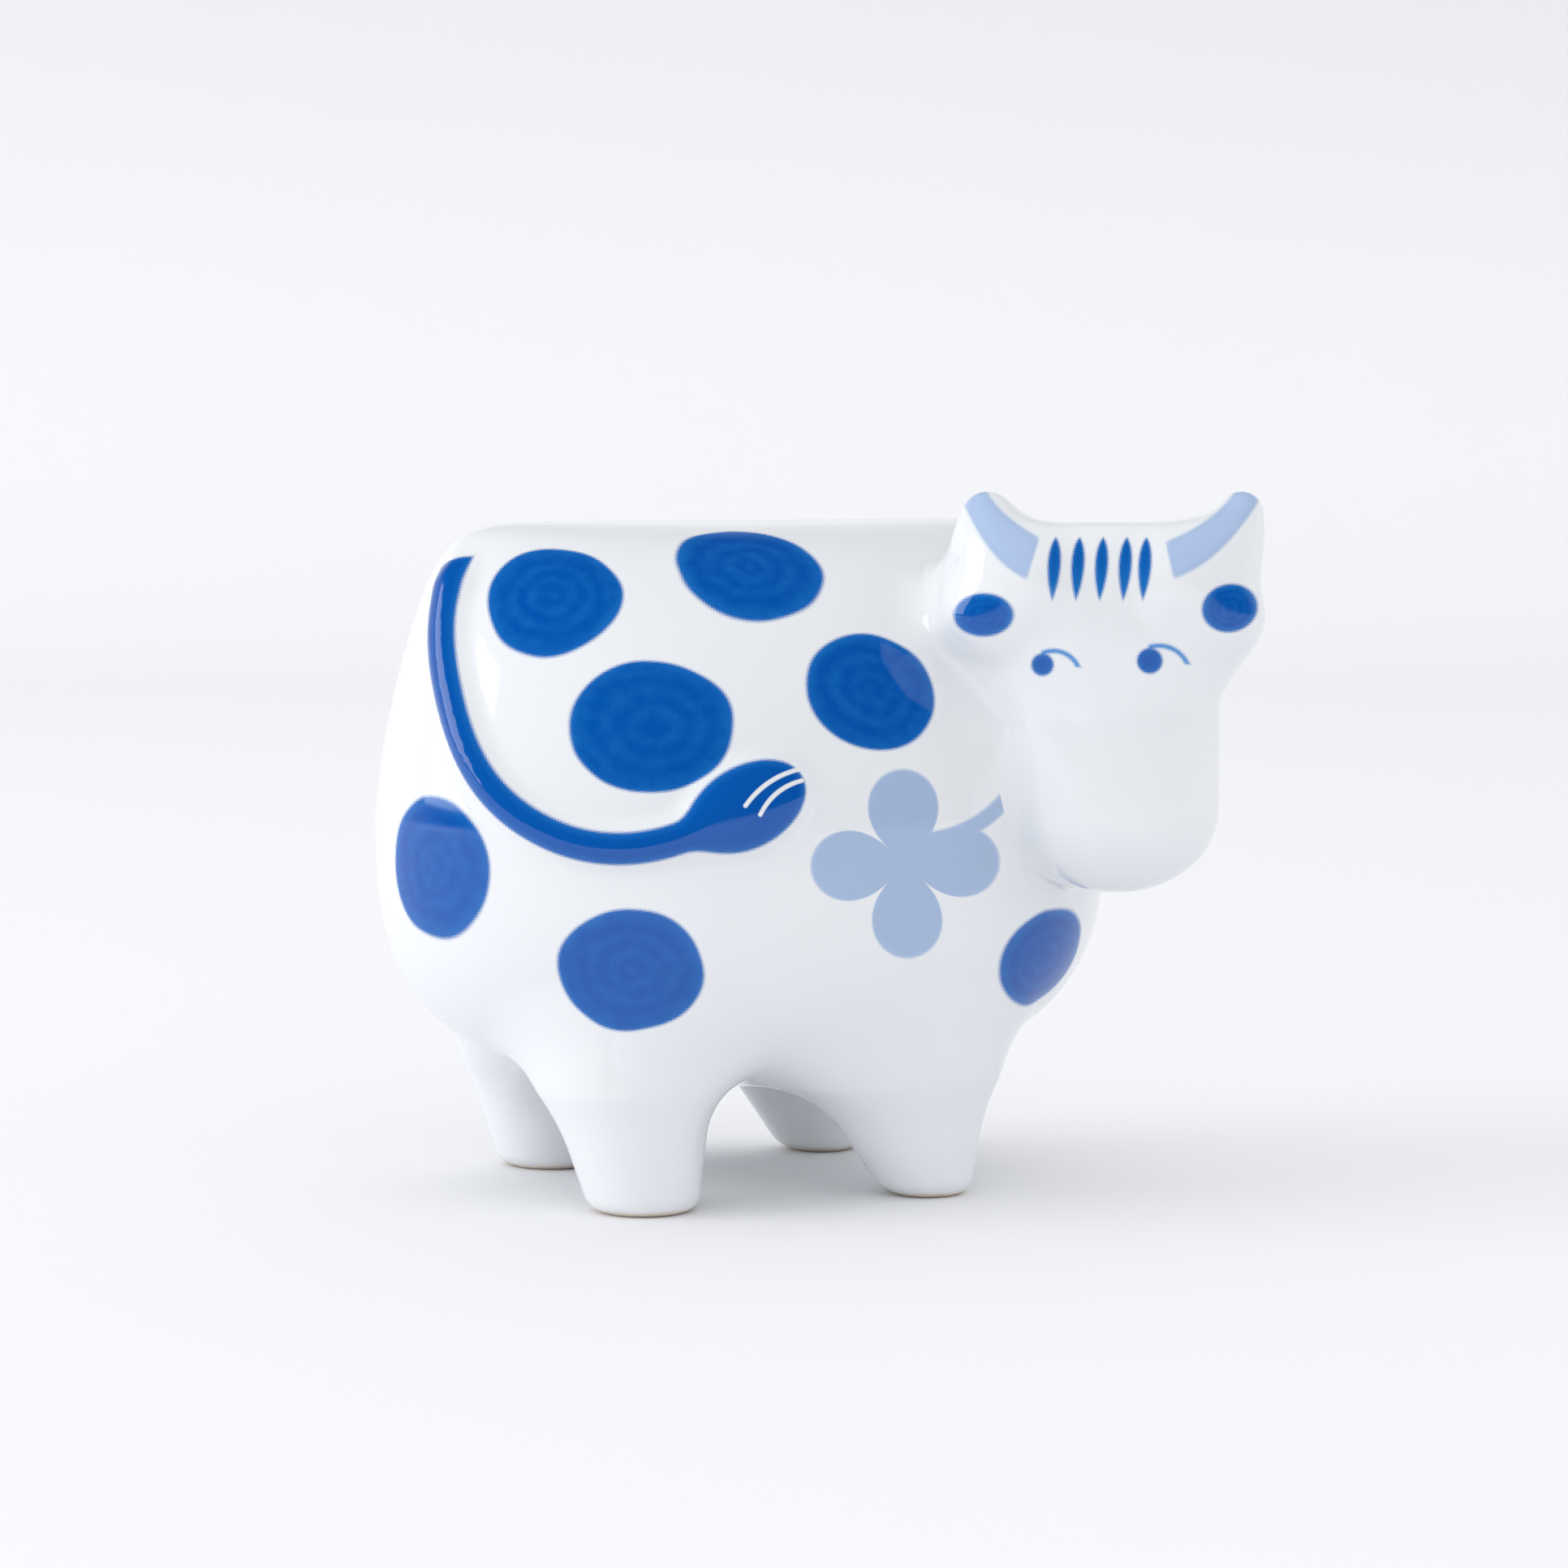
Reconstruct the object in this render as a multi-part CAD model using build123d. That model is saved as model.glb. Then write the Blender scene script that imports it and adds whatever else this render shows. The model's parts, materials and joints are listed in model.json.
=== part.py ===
# Small glazed porcelain cow whose head is turned over its right shoulder.
# Millimetres. +X is the way the body heads, +Y its left flank, +Z up, soles on Z = 0.
import os
from math import copysign, cos, pi, sin, sqrt

from build123d import *

# Body: an egg lying along X, elliptical from above, with a long flat back
body_half_length = 27.5
body_half_width = 20.4
body_forward = 0.7
belly_height = 7.6
girth_height = 27.0
back_height = 48.6
back_half_length = 22.5

# Slip-cast wall, and the holes that let out the slip and the air in the kiln
wall = 3.0
vent_radius = 2.6
neck_bore_radius = 3.6

# Legs: short cones, set in pairs, that flare into the belly
wheelbase = 21.6
track = 22.0
front_foot_radius = 3.1
rear_foot_radius = 3.9
sole_round = 1.0
leg_seam_height = 6.0
leg_root_fillet = 3.6
leg_lean = 0.04
front_leg_side_slope = 0.22
front_leg_rear_slope = 0.7
front_leg_front_slope = 0.2
rear_leg_side_slope = 0.15
rear_leg_rear_slope = 0.34
rear_leg_front_slope = 0.12

# Head: a cup-shaped muzzle that widens into a broad brow
head_turn = 108.0
head_x = 20.8
head_y = -18.5
muzzle_height = 22.3
muzzle_half_width = 7.3
muzzle_half_depth = 6.3
muzzle_round = 6.0
muzzle_swing = 1.3
brow_start_height = 34.8
brow_rise = 7.2
brow_half_width = 11.5
brow_half_depth = 6.6
crown_rise = 6.8
crown_half_width = 5.4
crown_half_depth = 2.8
head_squareness = 2.5

brow_height = brow_start_height + brow_rise
crown_height = brow_height + crown_rise

# Neck: a thick bridge from the right shoulder to the middle of the head
neck_root = (13.5, -4.5, 32.5)
neck_root_half_width = 8.8
neck_root_half_height = 12.0
neck_waist_half_width = 7.4
neck_waist_half_height = 9.8
neck_end_half_width = 6.2
neck_end_half_height = 8.8
neck_end_height = 36.0

# Horns, placed on the head: across, forward of its middle, height over the crown. The tips sway to the left
horn_root = (5.5, 4.4, -4.0)
horn_bend = (8.0, 3.4, -1.9)
horn_tip = (9.0, 1.6, 0.5)
horn_sway = 0.9
horn_root_radius = 2.4
horn_tip_radius = 1.6

# Ear pads, placed likewise, but by their height over the brow
ear_middle = (8.3, 3.9, 0.3)
ear_half_length = 2.5
ear_half_height = 1.9
ear_half_depth = 2.2

# Tail: a relief that leaves the rump and swings forward along the right flank,
# given by the points it runs through: distance ahead of the rump and depth below the back
tail_path = ((0.57, 2.0), (0.98, 6.6), (1.94, 12.1), (5.18, 18.9), (9.8, 21.8), (14.3, 21.9),
             (18.34, 20.4), (23.2, 17.8))
tail_root_half_width = 1.5
tail_half_width = 1.15
tail_relief = 1.1
tuft_length = 8.4
tuft_half_width = 2.9
tuft_relief = 1.5


def ring(center_x, center_y, height, half_x, half_y, squareness=2.0, start=0.0):
    """One level outline: a closed superellipse curve that starts at the angle given."""
    points = []
    for step in range(12):
        angle = start + 2 * pi * step / 12
        c, s = cos(angle), sin(angle)
        x = center_x + half_x * copysign(abs(c) ** (2 / squareness), c)
        y = center_y + half_y * copysign(abs(s) ** (2 / squareness), s)
        points.append(Vector(x, y, height))
    return Wire([Edge.make_spline(points, periodic=True)])


def body_halves(height, inset=0.0):
    """Half length and half width of the egg at a height, or of its inside, one wall further in."""
    low, top = belly_height + inset, back_height - inset
    length, width, back = body_half_length - inset, body_half_width - inset, back_half_length - inset
    if height < girth_height:
        fall = (girth_height - height) / (girth_height - low)
        rest = (1 - fall ** 3) ** (1 / 3)
        return length * rest, width * rest
    rise = (height - girth_height) / (top - girth_height)
    taper = length + (back - length) * rise ** 1.5
    return taper * (1 - rise ** 12) ** (1 / 12), width * sqrt(1 - rise ** 2)


def make_egg(inset=0.0):
    """The body as a loft of level ellipses, packed closer towards belly and back."""
    low, top = belly_height + inset, back_height - inset
    heights = [girth_height - (girth_height - low) * sin(pi / 2 * step) for step in (0.97, 0.86, 0.72, 0.5, 0.25)]
    heights += [girth_height + (top - girth_height) * sin(pi / 2 * step)
                for step in (0, 0.25, 0.45, 0.62, 0.76, 0.87, 0.96)]
    return Solid.make_loft([ring(body_forward, 0, z, *body_halves(z, inset)) for z in heights])


def make_leg(end, side, foot_radius, side_slope, rear_slope, front_slope):
    """A leaning cone with its own slopes fore and aft; inside the egg it draws in again."""
    full = belly_height + 2.6
    rings = []
    for height in (0, sole_round, full / 3, 2 * full / 3, full, full + 2.2, full + 4.8):
        rise = min(height, full)
        inside = max(0, height - full)
        trim = sole_round * 0.7 if height == 0 else 0.2 * inside
        half_x = foot_radius + (rear_slope + front_slope) / 2 * rise - trim
        half_y = foot_radius + side_slope * rise - trim
        x = end * wheelbase / 2 + (front_slope - rear_slope) / 2 * rise - end * 0.42 * inside
        y = side * (track / 2 - leg_lean * rise - 0.42 * inside)
        rings.append(ring(x, y, height, half_x, half_y, 2.0, -side * pi / 2))
    return Solid.make_loft(rings)


def make_body_with_legs():
    """Egg and four legs in one skin, rounded at the roots where the clay is smoothed over."""
    front = (front_foot_radius, front_leg_side_slope, front_leg_rear_slope, front_leg_front_slope)
    rear = (rear_foot_radius, rear_leg_side_slope, rear_leg_rear_slope, rear_leg_front_slope)
    legs = [make_leg(end, side, *sizes) for end, sizes in ((1, front), (-1, rear)) for side in (1, -1)]
    skin = make_egg().fuse(*legs)
    roots = []
    for edge in skin.edges():
        box = edge.bounding_box()
        if box.min.Z > leg_seam_height and box.max.Z < girth_height and box.size.Z > 0.5:
            roots.append(edge)
    return skin.fillet(leg_root_fillet, roots)


def on_head(shape):
    """Moves a shape from the head's own frame, face to -Y, to its place on the turned neck."""
    return shape.moved(Location((head_x, head_y, 0), (0, 0, 90 - head_turn)))


def head_halves(height):
    """Half width and half depth of the head at a height."""
    if height < brow_start_height:
        close = max(0.0, 1 - (height - muzzle_height) / muzzle_round)
        rest = sqrt(1 - close ** 2)
        return muzzle_half_width * rest, muzzle_half_depth * rest
    if height < brow_height:
        swell = (1 - cos(pi * (height - brow_start_height) / (brow_height - brow_start_height))) / 2
        return (muzzle_half_width + (brow_half_width - muzzle_half_width) * swell,
                muzzle_half_depth + (brow_half_depth - muzzle_half_depth) * swell)
    rise = (height - brow_height) / (crown_height - brow_height)
    rest = (1 - rise ** 3) ** (1 / 3)
    return (crown_half_width + (brow_half_width - crown_half_width) * rest,
            crown_half_depth + (brow_half_depth - crown_half_depth) * rest)


def make_head_shape(inset=0.0):
    """The head as a loft of level outlines, or its inside, one wall further in."""
    levels = [muzzle_height + muzzle_round * share for share in (0.03, 0.16, 0.45, 1.0)]
    levels += [(muzzle_height + muzzle_round + brow_start_height) / 2, brow_start_height]
    levels += [brow_start_height + (brow_height - brow_start_height) * share for share in (0.35, 0.65, 1.0)]
    levels += [brow_height + (crown_height - brow_height) * share for share in (0.45, 0.75, 0.93, 1.0)]
    rings = []
    for level in levels:
        half_x, half_y = head_halves(level)
        if inset and not (half_y > 1.5 * inset and muzzle_height + inset < level < crown_height - inset):
            continue
        swell = (level - brow_start_height) / (brow_height - brow_start_height)
        swing = muzzle_swing * (1 - min(max(swell, 0), 1))
        rings.append(ring(swing, 0, level, half_x - inset, half_y - inset, head_squareness))
    return on_head(Solid.make_loft(rings))


def make_neck():
    """A waisted loft from the shoulder to the head's middle, its outlines square to its run."""
    root, end = Vector(*neck_root), Vector(head_x, head_y, neck_end_height)
    run = end - root
    level = Vector(-run.Y, run.X, 0)
    outlines = []
    for share, half_x, half_y in ((0, neck_root_half_width, neck_root_half_height),
                                  (0.62, neck_waist_half_width, neck_waist_half_height),
                                  (1, neck_end_half_width, neck_end_half_height)):
        outlines.append(Plane(root + run * share, x_dir=level, z_dir=run) * Ellipse(half_x, half_y).wire())
    return Solid.make_loft(outlines)


def make_horn(side):
    """A tapering horn, bent outward, round at its tip and at its heel on the forehead."""
    points = []
    for sway, (across, forward, over) in zip((0, 0.6, 1), (horn_root, horn_bend, horn_tip)):
        points.append(Vector(side * across + sway * horn_sway, -forward, crown_height + over))
    path = Edge.make_spline(points)
    outlines = []
    for share in (0, 0.5, 1):
        radius = horn_root_radius + (horn_tip_radius - horn_root_radius) * share
        outlines.append(Wire.make_circle(radius, Plane(path @ share, z_dir=path % share)))
    heel = Pos(points[0]) * Solid.make_sphere(horn_root_radius)
    tip = Pos(points[-1]) * Solid.make_sphere(horn_tip_radius)
    return on_head(Solid.make_loft(outlines).fuse(heel, tip))


def make_ear(side):
    """A rounded ear pad on the side of the brow."""
    across, forward, over = ear_middle
    stretch = Matrix([[ear_half_length, 0, 0, side * across],
                      [0, ear_half_depth, 0, -forward],
                      [0, 0, ear_half_height, brow_height + over]])
    return on_head(Solid.make_sphere(1).transform_geometry(stretch))


def on_flank(ahead, depth):
    """The point of the right flank so far ahead of the rump and so far below the back."""
    height = back_height - depth
    length, width = body_halves(height)
    behind = 1 - ahead / length
    return Vector(body_forward - behind * length, -width * sqrt(1 - behind ** 2), height)


def make_tail():
    """A cord laid half into the flank, with a leaf-shaped tuft that ends round."""
    path = Edge.make_spline([on_flank(*spot) for spot in tail_path])
    tuft_share = 1 - tuft_length / path.length
    shares = [tuft_share * step / 9 for step in range(9)]
    shares += [tuft_share + (1 - tuft_share) * step for step in (0, 0.2, 0.4, 0.6, 0.8, 0.93, 1)]
    outlines = []
    for share in shares:
        along = max(0, (share - tuft_share) / (1 - tuft_share))
        swell = (1 - cos(pi * min(1, along / 0.6))) / 2
        close = sqrt(1 - 0.96 * (max(0, along - 0.6) / 0.4) ** 2)
        root = (1 + cos(pi * min(1, 2 * share))) / 2
        cord = tail_half_width + (tail_root_half_width - tail_half_width) * root
        half = (cord + (tuft_half_width - cord) * swell) * close
        relief = (tail_relief + (tuft_relief - tail_relief) * swell) * close
        spot, run = path @ share, path % share
        length, width = body_halves(spot.Z)
        outward = Vector((spot.X - body_forward) / length ** 2, spot.Y / width ** 2, 0)
        place = Plane(spot, x_dir=outward - run * outward.dot(run), z_dir=run)
        outlines.append(place * Ellipse(relief, half).wire())
    return Solid.make_loft(outlines)


def make_nodes():
    """Every piece as luted together: each one is cut back to the skin of what carries it."""
    skin = make_body_with_legs()
    head_skin = make_head_shape().fuse(make_neck())
    neck_run = Vector(head_x, head_y, neck_end_height) - Vector(*neck_root)
    neck_bore = Solid.make_cylinder(neck_bore_radius, neck_run.length, Plane(neck_root, z_dir=neck_run))
    vent = Pos(0, 0, belly_height - wall) * Solid.make_cylinder(vent_radius, 3 * wall)
    reach = 4 * body_half_length
    above = Pos(0, 0, leg_seam_height + reach / 2) * Box(reach, reach, reach)

    nodes = {"torso": (skin & above) - make_egg(wall) - vent - neck_bore}
    for leg in (skin - above).solids():
        end = "front" if leg.center().X > 0 else "rear"
        side = "left" if leg.center().Y > 0 else "right"
        nodes[f"leg_{end}_{side}"] = leg
    nodes["head"] = head_skin - skin - make_head_shape(wall) - neck_bore
    for side, word in ((1, "left"), (-1, "right")):
        nodes["horn_" + word] = make_horn(side) - head_skin
        nodes["ear_" + word] = make_ear(side) - head_skin - nodes["horn_" + word]
    nodes["tail"] = make_tail() - skin
    return nodes


nodes = make_nodes()
whole = Compound(children=[Compound(shape.solids()) for shape in nodes.values()]).bounding_box()
to_origin = Pos(-(whole.min.X + whole.max.X) / 2, -(whole.min.Y + whole.max.Y) / 2, -whole.min.Z)

os.makedirs("parts", exist_ok=True)
for name, shape in nodes.items():
    export_step(to_origin * shape, f"parts/{name}.step")
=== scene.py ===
# Glazed porcelain cow. Shapes are worked out in millimetres round the middle of its four soles,
# with x the way the body heads, y to its left and z up, and are shown in metres in the shared frame.
import json
import bpy
import numpy as np
from mathutils import Matrix, Vector


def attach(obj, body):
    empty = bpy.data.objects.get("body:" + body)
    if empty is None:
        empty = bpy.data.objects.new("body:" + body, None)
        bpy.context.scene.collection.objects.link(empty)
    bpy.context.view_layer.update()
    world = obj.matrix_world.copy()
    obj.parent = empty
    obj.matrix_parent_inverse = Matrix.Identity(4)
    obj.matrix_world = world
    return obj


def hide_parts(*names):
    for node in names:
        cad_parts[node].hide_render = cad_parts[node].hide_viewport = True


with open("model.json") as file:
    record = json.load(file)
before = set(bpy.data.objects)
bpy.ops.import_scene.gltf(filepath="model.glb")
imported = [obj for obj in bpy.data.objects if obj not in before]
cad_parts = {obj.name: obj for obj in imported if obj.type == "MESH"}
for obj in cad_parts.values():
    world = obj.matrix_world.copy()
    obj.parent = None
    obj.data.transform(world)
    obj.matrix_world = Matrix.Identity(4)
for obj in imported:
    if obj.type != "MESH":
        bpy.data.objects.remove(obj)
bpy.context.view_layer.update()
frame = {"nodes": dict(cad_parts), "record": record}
stand = np.mean([mount["pos_m"] for mount in frame["record"]["mounts"]], axis=0)  # middle of the soles, metres
print("frame loaded, soles round", stand.round(4))

# Forms, in millimetres
body = dict(halfLength=27.5, halfWidth=20.4, forward=0.7, belly=7.6, girth=27.0, back=48.6, backHalfLength=22.5,
            ventRadius=2.6, ventTop=13.5)
legs = dict(wheelbase=21.6, track=22.0, soleRound=1.1, lean=0.04, seam=6.0, blend=(3.4, 5.3),
            front=dict(foot=3.1, side=0.22, behind=0.7, ahead=0.2),
            rear=dict(foot=3.9, side=0.15, behind=0.34, ahead=0.12))
head = dict(turn=108.0, at=(20.8, -18.5), squareness=2.5, muzzle=22.3, muzzleHalf=(7.3, 6.3), muzzleRound=6.0,
            swing=1.3, browStart=34.8, brow=42.0, browHalf=(11.5, 6.6), crown=48.8, crownShare=0.45, blend=3.0)
neck = dict(root=(13.5, -4.5, 32.5), endHeight=36.0, shares=(0.0, 0.62, 1.0), halfWidths=(8.8, 7.4, 6.2),
            halfHeights=(12.0, 9.8, 8.8), blend=2.5, nape=3.8)
horns = dict(path=((5.5, 4.4, 44.8), (8.0, 3.4, 46.9), (9.0, 1.6, 49.3)), sways=(0.0, 0.54, 0.9), radii=(2.4, 1.6),
             blend=2.6)
ears = dict(at=(8.3, 3.9, 42.3), half=(2.5, 2.2, 1.9), blend=2.4)
tail = dict(path=((-21.5, 46.5), (-23.0, 42.0), (-23.4, 36.5), (-21.4, 29.7), (-17.0, 26.8), (-12.5, 26.7),
                  (-8.4, 28.2), (-3.23, 30.8)),
            rootHalfWidth=1.5, halfWidth=1.15, relief=1.1, tuftLength=8.4, tuftHalfWidth=2.9, tuftRelief=1.5, blend=1.2,
            rise=3.2)
netStep = 0.5  # grain of the skin mesh


def smoothJoin(a, b, radius):
    # union of two distance fields, the inner corner filled with an arc of this radius
    u, v = np.maximum(radius - a, 0), np.maximum(radius - b, 0)
    return np.maximum(radius, np.minimum(a, b)) - np.sqrt(u * u + v * v)


def smoothTrim(a, b, radius):
    # what two distance fields share, the outer corner rounded with an arc of this radius
    return -smoothJoin(-a, -b, radius)


def asDistance(shape, p):
    # a shape function divided by its own slope: close to millimetres near its surface
    slope = [shape(p + step) - shape(p - step) for step in 0.02 * np.eye(3)]
    return shape(p) / np.maximum(np.sqrt(sum(s * s for s in slope)) / 0.04, 1e-3)


def eggShape(p):
    # level ellipses; below the girth a cubic egg end, above it a round dome with a long flat ridge
    x, y, z = p[:, 0] - body["forward"], p[:, 1] / body["halfWidth"], p[:, 2]
    rise = np.maximum(z - body["girth"], 0) / (body["back"] - body["girth"])
    fall = np.maximum(body["girth"] - z, 0) / (body["girth"] - body["belly"])
    taper = body["halfLength"] + (body["backHalfLength"] - body["halfLength"]) * np.minimum(rise, 1) ** 1.5
    held = np.minimum(rise, 0.999)
    ridge = (1 - held ** 2) / (1 - held ** 12) ** (1 / 6)
    upper = (x / taper) ** 2 * ridge + y ** 2 + rise ** 2 - 1
    around = (x / body["halfLength"]) ** 2 + y ** 2
    return np.where(z > body["girth"], upper, (around ** 1.5 + fall ** 3) ** (2 / 3) - 1)


def backHeight(x, y):
    # height of the egg's back over a place, by halving
    low, high = np.full(len(x), 0.5), np.full(len(x), 1.0)
    for halving in range(26):
        rise = (low + high) / 2
        taper = body["halfLength"] + (body["backHalfLength"] - body["halfLength"]) * rise ** 1.5
        inside = (((x - body["forward"]) / taper) ** 2 / (1 - rise ** 12) ** (1 / 6)
                  + (y / body["halfWidth"]) ** 2 / (1 - rise ** 2)) < 1
        low, high = np.where(inside, rise, low), np.where(inside, high, rise)
    return body["girth"] + (body["back"] - body["girth"]) * low


def eggDistance(p):
    # the egg, or its side view drawn straight across where that lies further off, as the flat ridge reads too near
    def sideView(q):
        rise = np.maximum(q[:, 2] - body["girth"], 0) / (body["back"] - body["girth"])
        taper = body["halfLength"] + (body["backHalfLength"] - body["halfLength"]) * np.minimum(rise, 1) ** 1.5
        return (((q[:, 0] - body["forward"]) / taper) ** 12 + rise ** 12 + 1e-30) ** (1 / 12) - 1

    distance = np.maximum(asDistance(eggShape, p), asDistance(sideView, p))
    share = (p[:, 2] - body["girth"]) / (body["back"] - body["girth"])
    top = np.flatnonzero(share > 0.8)
    q = p[top]
    height, ahead, aside = (backHeight(q[:, 0] + dx, q[:, 1] + dy) for dx, dy in ((0, 0), (0.02, 0), (0, 0.02)))
    above = (q[:, 2] - height) / np.sqrt(1 + ((ahead - height) / 0.02) ** 2 + ((aside - height) / 0.02) ** 2)
    weight = np.clip((share[top] - 0.8) / 0.13, 0, 1)
    weight = weight * weight * (3 - 2 * weight)
    distance[top] = distance[top] * (1 - weight) + above * weight
    return distance


def legDistance(p, end, side):
    # a leaning elliptical cone that draws in again inside the egg, flat and rounded at the sole
    foot, wide, behind, ahead = legs["front" if end > 0 else "rear"].values()
    full = body["belly"] + 2.6

    def cone(q):
        over = np.maximum(q[:, 2] - full + 2, 0)
        inside = over * over / (over + 3)
        rise = np.maximum(q[:, 2], 0) - inside
        halfX = foot + (behind + ahead) / 2 * rise - 0.2 * inside
        halfY = foot + wide * rise - 0.2 * inside
        x = q[:, 0] - end * legs["wheelbase"] / 2 - (ahead - behind) / 2 * rise + end * 0.42 * inside
        y = q[:, 1] - side * (legs["track"] / 2 - legs["lean"] * rise - 0.42 * inside)
        return np.hypot(x / np.maximum(halfX, 1), y / np.maximum(halfY, 1)) - 1

    return smoothTrim(smoothTrim(asDistance(cone, p), p[:, 2] - full - 4.8, 1.0), -p[:, 2], legs["soleRound"])


def toHead(p):
    # into the head's own frame: x across, y forward of the face, z up
    angle = np.radians(90 - head["turn"])
    x, y = p[:, 0] - head["at"][0], p[:, 1] - head["at"][1]
    return np.stack([x * np.cos(angle) + y * np.sin(angle), x * np.sin(angle) - y * np.cos(angle), p[:, 2]], 1)


def headShape(p):
    # level superellipses: a cup with a round bottom, then a cosine swell to the brow, then a domed crown
    q = toHead(p)
    z = q[:, 2]
    swell = np.clip((z - head["browStart"]) / (head["brow"] - head["browStart"]), 0, 1)
    rise = np.maximum(z - head["brow"], 0) / (head["crown"] - head["brow"])
    wave = (1 - np.cos(np.pi * swell)) / 2
    half = [m + (b - m) * wave for m, b in zip(head["muzzleHalf"], head["browHalf"])]
    n, flat = head["squareness"], head["crownShare"]
    across = np.abs(q[:, 0] - head["swing"] * (1 - swell)) / half[0]
    level = (across ** n + (np.abs(q[:, 1]) / half[1]) ** n) ** (1 / n)
    domed = (1 - flat) * (((np.maximum(level - flat, 0) / (1 - flat)) ** 3 + rise ** 3) ** (1 / 3) - 1) + 1
    level = np.where(rise > 0, domed, level)
    close = np.maximum(0, 1 - (z - head["muzzle"]) / head["muzzleRound"])
    return np.hypot(level, close) - 1


def neckShape(p):
    # ellipses square to a straight run, waisted between shoulder and head
    root, end = np.array(neck["root"]), np.array((*head["at"], neck["endHeight"]))
    run = (end - root) / np.linalg.norm(end - root)
    level = np.array((-run[1], run[0], 0)) / np.hypot(run[0], run[1])
    v = p - root
    share = v @ run / np.linalg.norm(end - root)
    halfWidth = np.polyval(np.polyfit(neck["shares"], neck["halfWidths"], 2), np.clip(share, 0, 1))
    halfHeight = np.polyval(np.polyfit(neck["shares"], neck["halfHeights"], 2), np.clip(share, 0, 1))
    return np.hypot(v @ level / halfWidth, v @ np.cross(run, level) / halfHeight) - 1


def neckDistance(p):
    root, end = np.array(neck["root"]), np.array((*head["at"], neck["endHeight"]))
    along = (p - root) @ (end - root) / np.linalg.norm(end - root)
    return smoothTrim(asDistance(neckShape, p), np.abs(along - np.linalg.norm(end - root) / 2)
                      - np.linalg.norm(end - root) / 2, 1.0)


def hornDistance(p, side):
    # round cones strung along a parabola through root, bend and tip
    share = np.linspace(0, 1, 17)[:, None]
    root, bend, tip = (np.array(spot) * (side, 1, 1) + (sway, 0, 0)
                       for spot, sway in zip(horns["path"], horns["sways"]))
    line = root * (1 - share) * (1 - 2 * share) + bend * 4 * share * (1 - share) + tip * share * (2 * share - 1)
    radii = np.linspace(*horns["radii"], 17)
    q, best = toHead(p), np.full(len(p), 1e3)
    for a, b, ra, rb in zip(line[:-1], line[1:], radii[:-1], radii[1:]):
        t = np.clip((q - a) @ (b - a) / ((b - a) @ (b - a)), 0, 1)
        best = np.minimum(best, np.linalg.norm(q - a - t[:, None] * (b - a), axis=1) - ra - (rb - ra) * t)
    return best


def earDistance(p, side):
    def pad(q):
        return np.linalg.norm((toHead(q) - np.array(ears["at"]) * (side, 1, 1)) / ears["half"], axis=1) - 1
    return asDistance(pad, p)


def naturalSpline(points, count):
    # natural cubic through the points, even in chord length
    points = np.array(points, float)
    t = np.r_[0, np.cumsum(np.linalg.norm(np.diff(points, axis=0), axis=1))]
    h = np.diff(t)
    grid = np.eye(len(t))
    right = np.zeros_like(points)
    inner = np.arange(1, len(t) - 1)
    grid[inner, inner - 1], grid[inner, inner], grid[inner, inner + 1] = h[:-1], 2 * (h[:-1] + h[1:]), h[1:]
    right[1:-1] = 6 * (np.diff(points, axis=0)[1:] / h[1:, None] - np.diff(points, axis=0)[:-1] / h[:-1, None])
    bend = np.linalg.solve(grid, right)
    at = np.linspace(0, t[-1], count)
    k = np.clip(np.searchsorted(t, at, side="right") - 1, 0, len(h) - 1)
    a, b, w = ((t[k + 1] - at) / h[k])[:, None], ((at - t[k]) / h[k])[:, None], (h[k] ** 2 / 6)[:, None]
    return (a * points[k] + b * points[k + 1] + w * ((a ** 3 - a) * bend[k] + (b ** 3 - b) * bend[k + 1]))


def tailCurve():
    # the tail's centre line on the right flank, with the outward direction and half sizes along it
    flat = naturalSpline(tail["path"], 260)
    low, high = np.full(len(flat), -body["halfWidth"]), np.zeros(len(flat))
    for halving in range(40):  # the flank is where the egg function changes sign
        middle = (low + high) / 2
        outside = eggShape(np.stack([flat[:, 0], middle, flat[:, 1]], 1)) > 0
        low, high = np.where(outside, middle, low), np.where(outside, high, middle)
    line = np.stack([flat[:, 0], (low + high) / 2, flat[:, 1]], 1)
    along = np.r_[0, np.cumsum(np.linalg.norm(np.diff(line, axis=0), axis=1))]
    run = np.gradient(line, axis=0)
    run /= np.linalg.norm(run, axis=1)[:, None]
    outward = np.stack([eggShape(line + step) - eggShape(line - step) for step in 0.02 * np.eye(3)], 1)
    outward -= run * (outward * run).sum(1)[:, None]
    outward /= np.linalg.norm(outward, axis=1)[:, None]
    share = np.clip(1 - (along[-1] - along) / tail["tuftLength"], 0, 1)
    swell = (1 - np.cos(np.pi * np.minimum(1, share / 0.6))) / 2
    close = np.sqrt(1 - 0.96 * (np.maximum(0, share - 0.6) / 0.4) ** 2)
    cord = (1 + np.cos(np.pi * np.minimum(1, 2 * along / along[-1]))) / 2
    cord = tail["halfWidth"] + (tail["rootHalfWidth"] - tail["halfWidth"]) * cord
    half = (cord + (tail["tuftHalfWidth"] - cord) * swell) * close
    relief = (tail["relief"] + (tail["tuftRelief"] - tail["relief"]) * swell) * close
    rooted = np.clip(along / tail["rise"], 0, 1)
    line = line - outward * (2.4 * (1 - rooted * rooted * (3 - 2 * rooted)))[:, None]  # the root comes up out of the rump
    return line, run, outward, along, half, relief


tailLine, tailRun, tailOut, tailAlong, tailHalf, tailRelief = tailCurve()


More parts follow.
